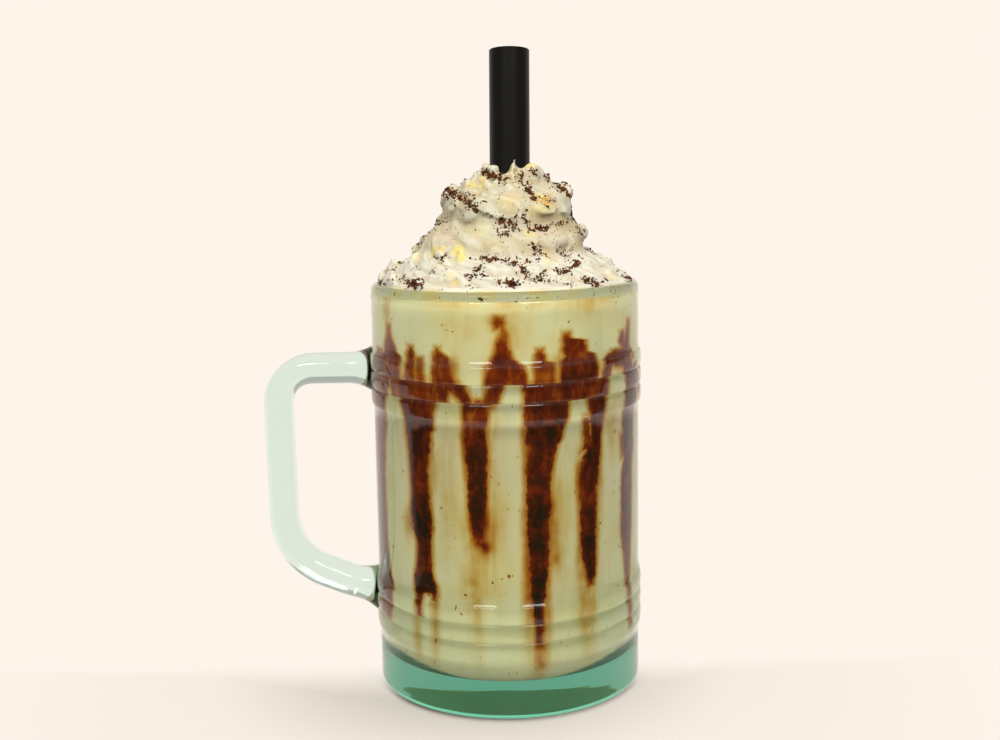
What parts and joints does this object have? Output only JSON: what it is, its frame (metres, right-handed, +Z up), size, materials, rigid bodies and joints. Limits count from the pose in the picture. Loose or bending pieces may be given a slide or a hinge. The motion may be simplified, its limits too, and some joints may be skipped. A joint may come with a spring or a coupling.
{
  "type": "milkshake in glass mug",
  "caption": "Milkshake with sauce streaks in a ribbed glass mug with a handle, topped with a whipped cream swirl, crumbs and a wide straw.",
  "frame": {"origin": "centre of the mug's base, on the surface it stands on", "axes": "+Z up along the mug's axis, -X towards the handle, -Y towards the side that the picture shows"},
  "size_m": [0.1145, 0.0816, 0.1907],
  "materials": {
    "mug": "gloss",
    "milkshake": "satin",
    "cream": "matte",
    "straw": "satin"
  },
  "bodies": {
    "root": {"mug": "mug", "milkshake": "milkshake", "cream": "cream", "straw": "straw"}
  },
  "joints": []
}
